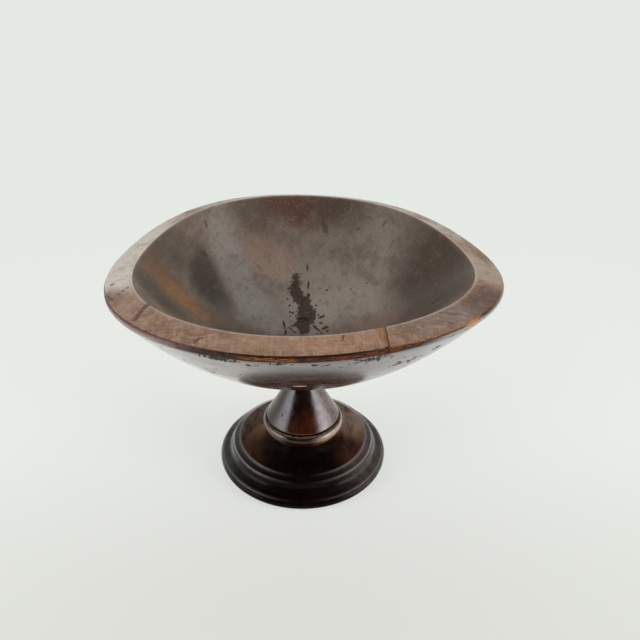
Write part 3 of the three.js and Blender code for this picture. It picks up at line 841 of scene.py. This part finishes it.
# Ovals of the wood's own amber, red-brown and dark tones, and of painted sheen: a pale band left of the
# middle and pale patches in the middle, where the satin mirrors the pale backdrop, with the left and right
# walls painted darker where it mirrors the darker sides of the room
INSIDE_TONES_AND_SHEEN = [
    (38, 28, 62, 52, 20, "96867a", 0.85),
    (-29, 70, 22, 22, 0, "997d6b", 0.7),
    (37, 22, 30, 22, 0, "a09284", 0.6),
    (-56, 48, 66, 15, -64, "8c857b", 0.85),
    (-80, 28, 28, 13, -78, "2e271b", 0.85),
    (-66, 4, 24, 11, -74, "393024", 0.65),
    (106, 8, 32, 70, 0, "443428", 0.9),
    (84, -44, 46, 18, 48, "483b30", 0.7),
    (-112, -4, 30, 12, -62, "634a31", 0.6),
    (-104, -36, 32, 11, -42, "3c3226", 0.85),
    (0, 130, 64, 20, 0, "4a2917", 0.95),
    (36, 120, 30, 14, -24, "3d3027", 0.6),
    (-37, 94, 14, 20, -20, "7c5b47", 0.45),
    (26, -54, 46, 14, 0, "5c4030", 0.8),
    (-50, -34, 34, 17, -30, "413328", 0.75),
    (42, -24, 28, 15, 10, "7d5b48", 0.75),
    (-116, 34, 26, 22, 80, "54483d", 0.7),
    (-48, 112, 20, 14, -20, "493a30", 0.8),
    (-59, -25, 17, 8, -32, "6f513c", 0.7),
]
base = toned(place, base, INSIDE_TONES_AND_SHEEN, clouds)
INSIDE_MOTTLES = [
    (clouds, 0.5, 0.66, 0.4, "4c4037"),
    (blotch, 0.52, 0.68, 0.5, "4a3e35"),
    (blotch, 0.46, 0.34, 0.16, "8e8277"),
    (grit, 0.54, 0.68, 0.35, "3f342b"),
    (grit, 0.46, 0.32, 0.25, "9d9185"),
]
base = mottled(base, INSIDE_MOTTLES)
AMBER_LAYERS = [
    ((-96, -12), (30, 12.5), 1.3, 0.55, (0.35, 0.62, 0.95, 0.35), "775231"),
    ((-87, -19), (19, 8), 1.5, 0.6, (0.38, 0.6, 0.85, 0.3), "966a3c"),
]
for centre, radii, ragged, softness, crumbled, tone in AMBER_LAYERS:
    amber = spot(place, centre, radii, -46, blotch, ragged, softness)
    base = over(times(amber, between(crumb, *crumbled)), base, tone)
base = mottled(base, [(fine, 0.5, 0.75, 0.35, "41352c")])

# The stain's left and right edges, as millimetres to the right at each distance back from the screw
STAIN_FRONT, STAIN_BACK = -24, 68
STAIN_HALF = 20
STAIN_LEFT = [(-24, -2.5), (-14, -4.8), (-8, -8.9), (-1, -6.1), (16, -5.4), (25, -5), (31, -8)]
STAIN_LEFT += [(40, -12), (52, -10.5), (60, -8.5), (68, -5.5)]
STAIN_RIGHT = [(-24, 3.5), (-14, 6.3), (-6, 8), (2, 10.4), (17, 9.9), (25, 7.2), (33, 5.5)]
STAIN_RIGHT += [(38, 1.6), (46, -2), (59, -2.8), (68, -4.5)]

# Spots and runs beside the stain: place, half width, half length and turn
STAIN_SPOTS = [
    (4, 71.5, 0.9, 4.4, 0), (4.6, 50.5, 0.9, 6, -4), (4.6, 37.5, 1.7, 2.6, 0),
    (-11.4, 22.6, 1, 1.4, 0), (-10.6, 12.8, 1, 1.8, 0), (-8.2, 11.6, 1, 1.8, 10),
    (-15, -8, 0.9, 7, 5), (-13.4, -20, 1, 5, 0), (-9.4, -14.8, 0.9, 4.6, 30),
    (-6.4, -19.8, 1.4, 1.4, 0), (15.4, 5, 1.6, 3.4, -42), (14.3, -5.2, 1.5, 1.9, 0),
    (10.6, -14, 1.2, 6.6, 24), (17.6, -13.4, 2.4, 3, -40), (19, -20, 1.4, 1.6, 0),
    (14, -22.6, 1.3, 1.2, 0), (10.9, -23.2, 1, 1, 0), (10.9, 23, 0.9, 1.3, 0),
    (14.4, 30, 0.8, 1.2, 0), (15, 46, 0.8, 1.2, 0), (12.8, 8, 1, 1.4, 0),
    (-9.8, 6, 0.8, 1, 0), (-13, 32, 0.8, 1.2, 0), (20.7, 42.8, 0.9, 1.1, 0),
]
to_right, to_back = apart(place)[:2]
along = between(to_back, STAIN_FRONT, STAIN_BACK, course="LINEAR")


def stain_edge(points):
    """The sideways place of one edge of the stain, as a curve along its length."""
    curve = add(tree, "FloatCurve", {"Value": along})
    line = curve.mapping.curves[0].points
    length = STAIN_BACK - STAIN_FRONT
    places = [((back - STAIN_FRONT) / length, 0.5 + right / (2 * STAIN_HALF)) for back, right in points]
    line[0].location, line[1].location = places[0], places[-1]
    for at in places[1:-1]:
        line.new(*at)
    curve.mapping.update()
    return scaled(curve.outputs[0], 2 * STAIN_HALF, -STAIN_HALF)


# How deep a place lies inside the stain's outline, moved in and out by crumbs and torn lumps of the noise
depth_in = sums("SUBTRACT", to_right, stain_edge(STAIN_LEFT))
for from_edge in (
    sums("SUBTRACT", stain_edge(STAIN_RIGHT), to_right),
    sums("SUBTRACT", to_back, STAIN_FRONT),
    scaled(to_back, -1, STAIN_BACK),
):
    depth_in = sums("MINIMUM", depth_in, from_edge)
torn = cloud(place, 2.6, 3, (1, 1.4, 1), 0.6)
crumbled_edge = scaled(crumb, 14, -7.1)
torn_edge = scaled(torn, 9.5, -4.9)
jagged = sums("ADD", depth_in, sums("ADD", crumbled_edge, torn_edge))
pinholes = between(cloud(place, 1.8, 2), 0.71, 0.67)
stain = times(between(jagged, -0.35, 0.35), pinholes)
for x, y, wide, long, turn in STAIN_SPOTS:
    stain = sums("MAXIMUM", stain, spot(place, (x, y), (wide, long), turn, crumb, 1.4, 0.18))
base = over(stain, base, over(between(crumb, 0.35, 0.65), "35261c", "4b392c"))

# Small dark marks left by what the bowl held: place, half width, half length and turn, and then a ring
INSIDE_MARKS = [
    (54.7, 41, 1.3, 1.3, 0), (99.2, 20.7, 1.4, 1.2, 0), (50.3, 100, 2, 1.6, 0), (41.1, 39.1, 0.9, 1, 0),
    (31, 42, 0.9, 1, 0), (-90, -31.9, 2.8, 1, -30), (-85, 82.7, 1.4, 3.4, 20), (-84.1, 54, 2.6, 3, 0),
    (20.4, 109.1, 2.4, 7, 18), (73.1, 94.1, 3, 1.2, 40), (78, 72, 4.5, 0.5, 50),
]
for x, y, wide, long, turn in INSIDE_MARKS:
    here = spot(place, (x, y), (wide, long), turn, crumb, 0.8, 0.35)
    base = over(times(here, 0.6), base, "30211a")
RING_MIDDLE, RING_RADII = (97.6, -36.8), (3.2, 1.5)
ring = [spot(place, RING_MIDDLE, (radius, radius), 0, crumb, 0.3, 0.2) for radius in RING_RADII]
base = over(times(sums("SUBTRACT", *ring), 0.85), base, "271e16")
# The rim's inner edge, worn pale and painted with a highlight
base = over(times(marked(tree, "rubbed_and_highlit"), 0.6), base, "a99484")
rough = scaled(stain, 0.4, between(clouds, 0.35, 0.65, 0.3, 0.42))
feed(shader, {"Base Color": base, "Roughness": rough})
raised(shader, scaled(stain, -0.8, fine), 0.08)

for finish in (outside_finish, lip_finish, rim_finish, inside_finish):
    bowl.data.materials.append(finish)
bowl.data.polygons.foreach_set("material_index", np.tile(bowl_zone, len(bowl_round)))


# The rim's patch
# A sliver of other wood, let into a split that ran through the rim. It is wider inside than at the lip, worn
# down with the rim, and its right-hand joint has opened into a dark line.

PATCH_BOTTOM, PATCH_TOP = 196.6, 208
PATCH_INNER_Y, PATCH_OUTER_Y = -118, -150
PATCH_INNER_X = (40.2, 49.1)
PATCH_OUTER_X = (47.9, 49.4)
TIGHT_JOINT, OPEN_JOINT = 0.01, 0.2


def patch_block(grown_left, grown_right):
    """The space that the sliver fills, wider by a clearance at each side."""
    corners = []
    for z in (PATCH_BOTTOM - grown_left, PATCH_TOP):
        corners += [
            (PATCH_OUTER_X[0] - grown_left, PATCH_OUTER_Y, z),
            (PATCH_OUTER_X[1] + grown_right, PATCH_OUTER_Y, z),
            (PATCH_INNER_X[1] + grown_right, PATCH_INNER_Y, z),
            (PATCH_INNER_X[0] - grown_left, PATCH_INNER_Y, z),
        ]
    return block_of("patch_block", corners)


patch_mesh = cut_by(bowl, patch_block(0, 0), "INTERSECT", "MANIFOLD")
bowl.data = cut_by(bowl, patch_block(TIGHT_JOINT, OPEN_JOINT), "DIFFERENCE", "MANIFOLD")
patch_mesh.name = "rim_sliver"
patch_mesh.materials.clear()
patch_mesh.polygons.foreach_set("material_index", np.zeros(len(patch_mesh.polygons), np.int32))
patch = placed("rim_sliver", patch_mesh)
patch_finish, tree, shader, place = new_finish("patch_worn_wood")
figure = cloud(place, 1.6, 5, (1, 8, 1), 0.65)
fleck = cloud(place, 1, 4, (1, 1.5, 1), 0.7)
to_right, to_back = apart(place)[:2]
from_left = scaled(to_back, 0.24, to_right)
base = over(between(figure, 0.36, 0.62), "74492b", "a0754f")
PATCH_SHADES = [
    (from_left, 15, 12.4, 0.6, "a07b5f"),
    (to_right, 47.2, 49.2, 1, "5a3620"),
    (to_back, -143.1, -144, 1, "331a0d"),
    (fleck, 0.56, 0.68, 0.8, "3a2112"),
]
base = mottled(base, PATCH_SHADES)
feed(shader, {"Base Color": base, "Roughness": 0.5, "IOR": 1.35})
raised(shader, fleck, 0.2)
patch_mesh.materials.append(patch_finish)
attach(patch, "root")
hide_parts("rim_patch")
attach(bowl, "root")
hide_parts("bowl")


# The screw
# A coarse countersunk iron wood screw, driven from the bowl's well down into the stem, so that it draws the
# two together. Its head is rusted dark.

screw_finish, tree, shader, place = new_finish("rusted_iron")
rust = cloud(place, 1.4, 5)
base = over(between(rust, 0.4, 0.65), "3b2b21", "54402f")
rough = between(rust, 0.3, 0.7, 0.5, 0.8)
feed(shader, {"Base Color": base, "Roughness": rough, "Metallic": 0.15})
raised(shader, rust, 0.2)
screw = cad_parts["bowl_screw"]
screw.data.materials.clear()
screw.data.materials.append(screw_finish)


# The floor, the lamps, the pale surroundings and the camera
# The bowl stands on a pale floor that runs into a pale backdrop, between two low soft boxes, with a bright
# wall at each side, a pale ceiling and a dark room in front, as such things are photographed.

FLOOR_HALF = 4
FLOOR_NEAR, FLOOR_FAR = 0.12, 0.9
FLOOR_SHOWN_NEAR = 0.68
BACKDROP = "e5e9e4"

floor_mesh = bpy.data.meshes.new("floor")
floor_corners = [(x * FLOOR_HALF, y * FLOOR_HALF, 0) for x, y in ((-1, -1), (1, -1), (1, 1), (-1, 1))]
floor_mesh.from_pydata(floor_corners, [], [(0, 1, 2, 3)])
floor = placed("floor", floor_mesh)
floor_finish, tree, shader, place = new_finish("floor_pale")
feed(shader, {"Base Color": "e6e6e1", "Roughness": 0.9})
rays = add(tree, "LightPath").outputs
to_right, to_back = apart(place)[:2]
faded = between(vectors("LENGTH", place)["Value"], FLOOR_NEAR / MM, FLOOR_FAR / MM)

# To the camera the floor shows some shadow near the bowl, and none where it runs into the backdrop
shown = scaled(faded, 1 - FLOOR_SHOWN_NEAR, FLOOR_SHOWN_NEAR)
shown = times(rays["Is Camera Ray"], shown)
shown_colour = over(between(to_back, -200, 60), "dbddd7", "eff2ee")
shown_colour = over(faded, shown_colour, BACKDROP)

# The polish mirrors a pale floor, but not right at the foot, where the foot's own shadow lies in front of it
from_afar = between(rays["Ray Length"], 0.04, 0.09)
out_of_shadow = sums("MAXIMUM", from_afar, between(to_back, -84, -60, 0.03, 1))
mirrored = times(times(rays["Is Glossy Ray"], 0.84), out_of_shadow)
mirrored_colour = over(between(to_right, -40, 90), "fbfbf6", "e6e7e3")
glow_colour = over(rays["Is Glossy Ray"], shown_colour, mirrored_colour)
glow = add(tree, "Emission", {"Color": glow_colour, "Strength": 1}).outputs[0]
glowing = sums("MAXIMUM", shown, mirrored)
blend = add(tree, "MixShader", {0: glowing, 1: shader.outputs[0], 2: glow}).outputs[0]
feed(tree.nodes["Material Output"], {"Surface": blend})
floor_mesh.materials.append(floor_finish)

# Two soft boxes at the front corners, which light the bowl and aren't mirrored in it
BOX_SIDE, BOX_FRONT, BOX_HEIGHT = 0.85, -0.31, 0.36
BOX_AIM = Vector((0, 0, 0.06))
BOX_WIDE, BOX_TALL, BOX_WATTS = 0.5, 0.7, 5.5
for name, side in (("soft_box_left", -BOX_SIDE), ("soft_box_right", BOX_SIDE)):
    light = bpy.data.lights.new(name, "AREA")
    light.shape = "RECTANGLE"
    light.size = BOX_WIDE
    light.size_y = BOX_TALL
    light.energy = BOX_WATTS
    box_place = Vector((side, BOX_FRONT, BOX_HEIGHT))
    soft_box = placed(name, light)
    soft_box.location = box_place
    soft_box.visible_glossy = False
    soft_box.rotation_euler = (BOX_AIM - box_place).to_track_quat("-Z", "Y").to_euler()

# What the polish mirrors: a grey room, pale overhead and behind, bright at each side and dark in front. What
# lights the matt surfaces is a softer grey, and the camera sees only the backdrop.
ROOM_GREY = (0.12, 0.12, 0.12, 1)
ROOM_PALE = (0.75, 0.77, 0.77, 1)
ROOM_DARK = (0.03, 0.03, 0.03, 1)
LOW_BEHIND = (0.5, 0.52, 0.51, 1)
SIDE_LEFT, SIDE_RIGHT = (5.6, 5.6, 5.8, 1), (8.6, 8.2, 8.2, 1)
SOFT_GREY, SOFT_FRONT = (0.5, 0.51, 0.51, 1), (0.2, 0.2, 0.2, 1)

world = bpy.data.worlds.new("pale_surroundings")
bpy.context.scene.world = world
world.use_nodes = True
tree = world.node_tree
tree.nodes.clear()
direction = add(tree, "TexCoord").outputs["Generated"]
to_right, to_back, height_up = apart(direction)
to_front = round_axis(to_right, to_back)[1]
in_front = between(to_front, 0.6, 0.72)
overhead = times(between(height_up, 0.6, 0.76), between(height_up, 0.98, 0.9, 0.5, 1))
behind = between(to_front, -0.91, -0.975)
room = over(sums("MAXIMUM", overhead, behind), ROOM_GREY, ROOM_PALE)
room = over(times(in_front, between(height_up, 0.97, 0.88)), room, ROOM_DARK)
low_behind = times(between(to_front, -0.2, -0.45), between(height_up, 0.2, 0.08))
room = over(low_behind, room, LOW_BEHIND)
beside = times(between(to_front, 0.7, 0.52), between(to_front, -0.4, 0.5, 0.12, 1))
beside = times(beside, between(height_up, 0.5, 0.3))
beside = times(beside, between(to_front, -0.5, -0.3))
side_light = over(between(to_right, -0.1, 0.1), SIDE_LEFT, SIDE_RIGHT)
room = over(beside, room, side_light)
soft = over(times(in_front, between(height_up, 0.9, 0.7)), SOFT_GREY, SOFT_FRONT)
rays = add(tree, "LightPath").outputs
lit = over(rays["Is Diffuse Ray"], room, soft)
seen = over(rays["Is Camera Ray"], lit, BACKDROP)
sky = add(tree, "Background", {"Color": seen, "Strength": 1})
add(tree, "OutputWorld", {"Surface": sky.outputs[0]})

# The camera that took the picture, found from the edges of the foot, the stem and the rim
FOCAL_PIXELS, PICTURE_PIXELS = 650, 640
SENSOR_WIDTH = 36
CAMERA_PLACE = (0, -0.45608, 0.39631)
PITCH, YAW, ROLL = 0.5168, 0.0302, 0.0148
camera_data = bpy.data.cameras.new("camera")
camera_data.sensor_width = SENSOR_WIDTH
camera_data.lens = FOCAL_PIXELS / PICTURE_PIXELS * SENSOR_WIDTH
camera_data.clip_end = 50
camera = placed("camera", camera_data)
bpy.context.scene.camera = camera
ahead = Vector((math.sin(YAW) * math.cos(PITCH), math.cos(YAW) * math.cos(PITCH), -math.sin(PITCH)))
level_right = Vector((math.cos(YAW), -math.sin(YAW), 0))
level_up = level_right.cross(ahead)
right = math.cos(ROLL) * level_right + math.sin(ROLL) * level_up
upward = -math.sin(ROLL) * level_right + math.cos(ROLL) * level_up
turn = Matrix((right, upward, -ahead)).transposed().to_4x4()
camera.matrix_world = Matrix.Translation(CAMERA_PLACE) @ turn

bpy.context.scene.view_settings.view_transform = "Standard"
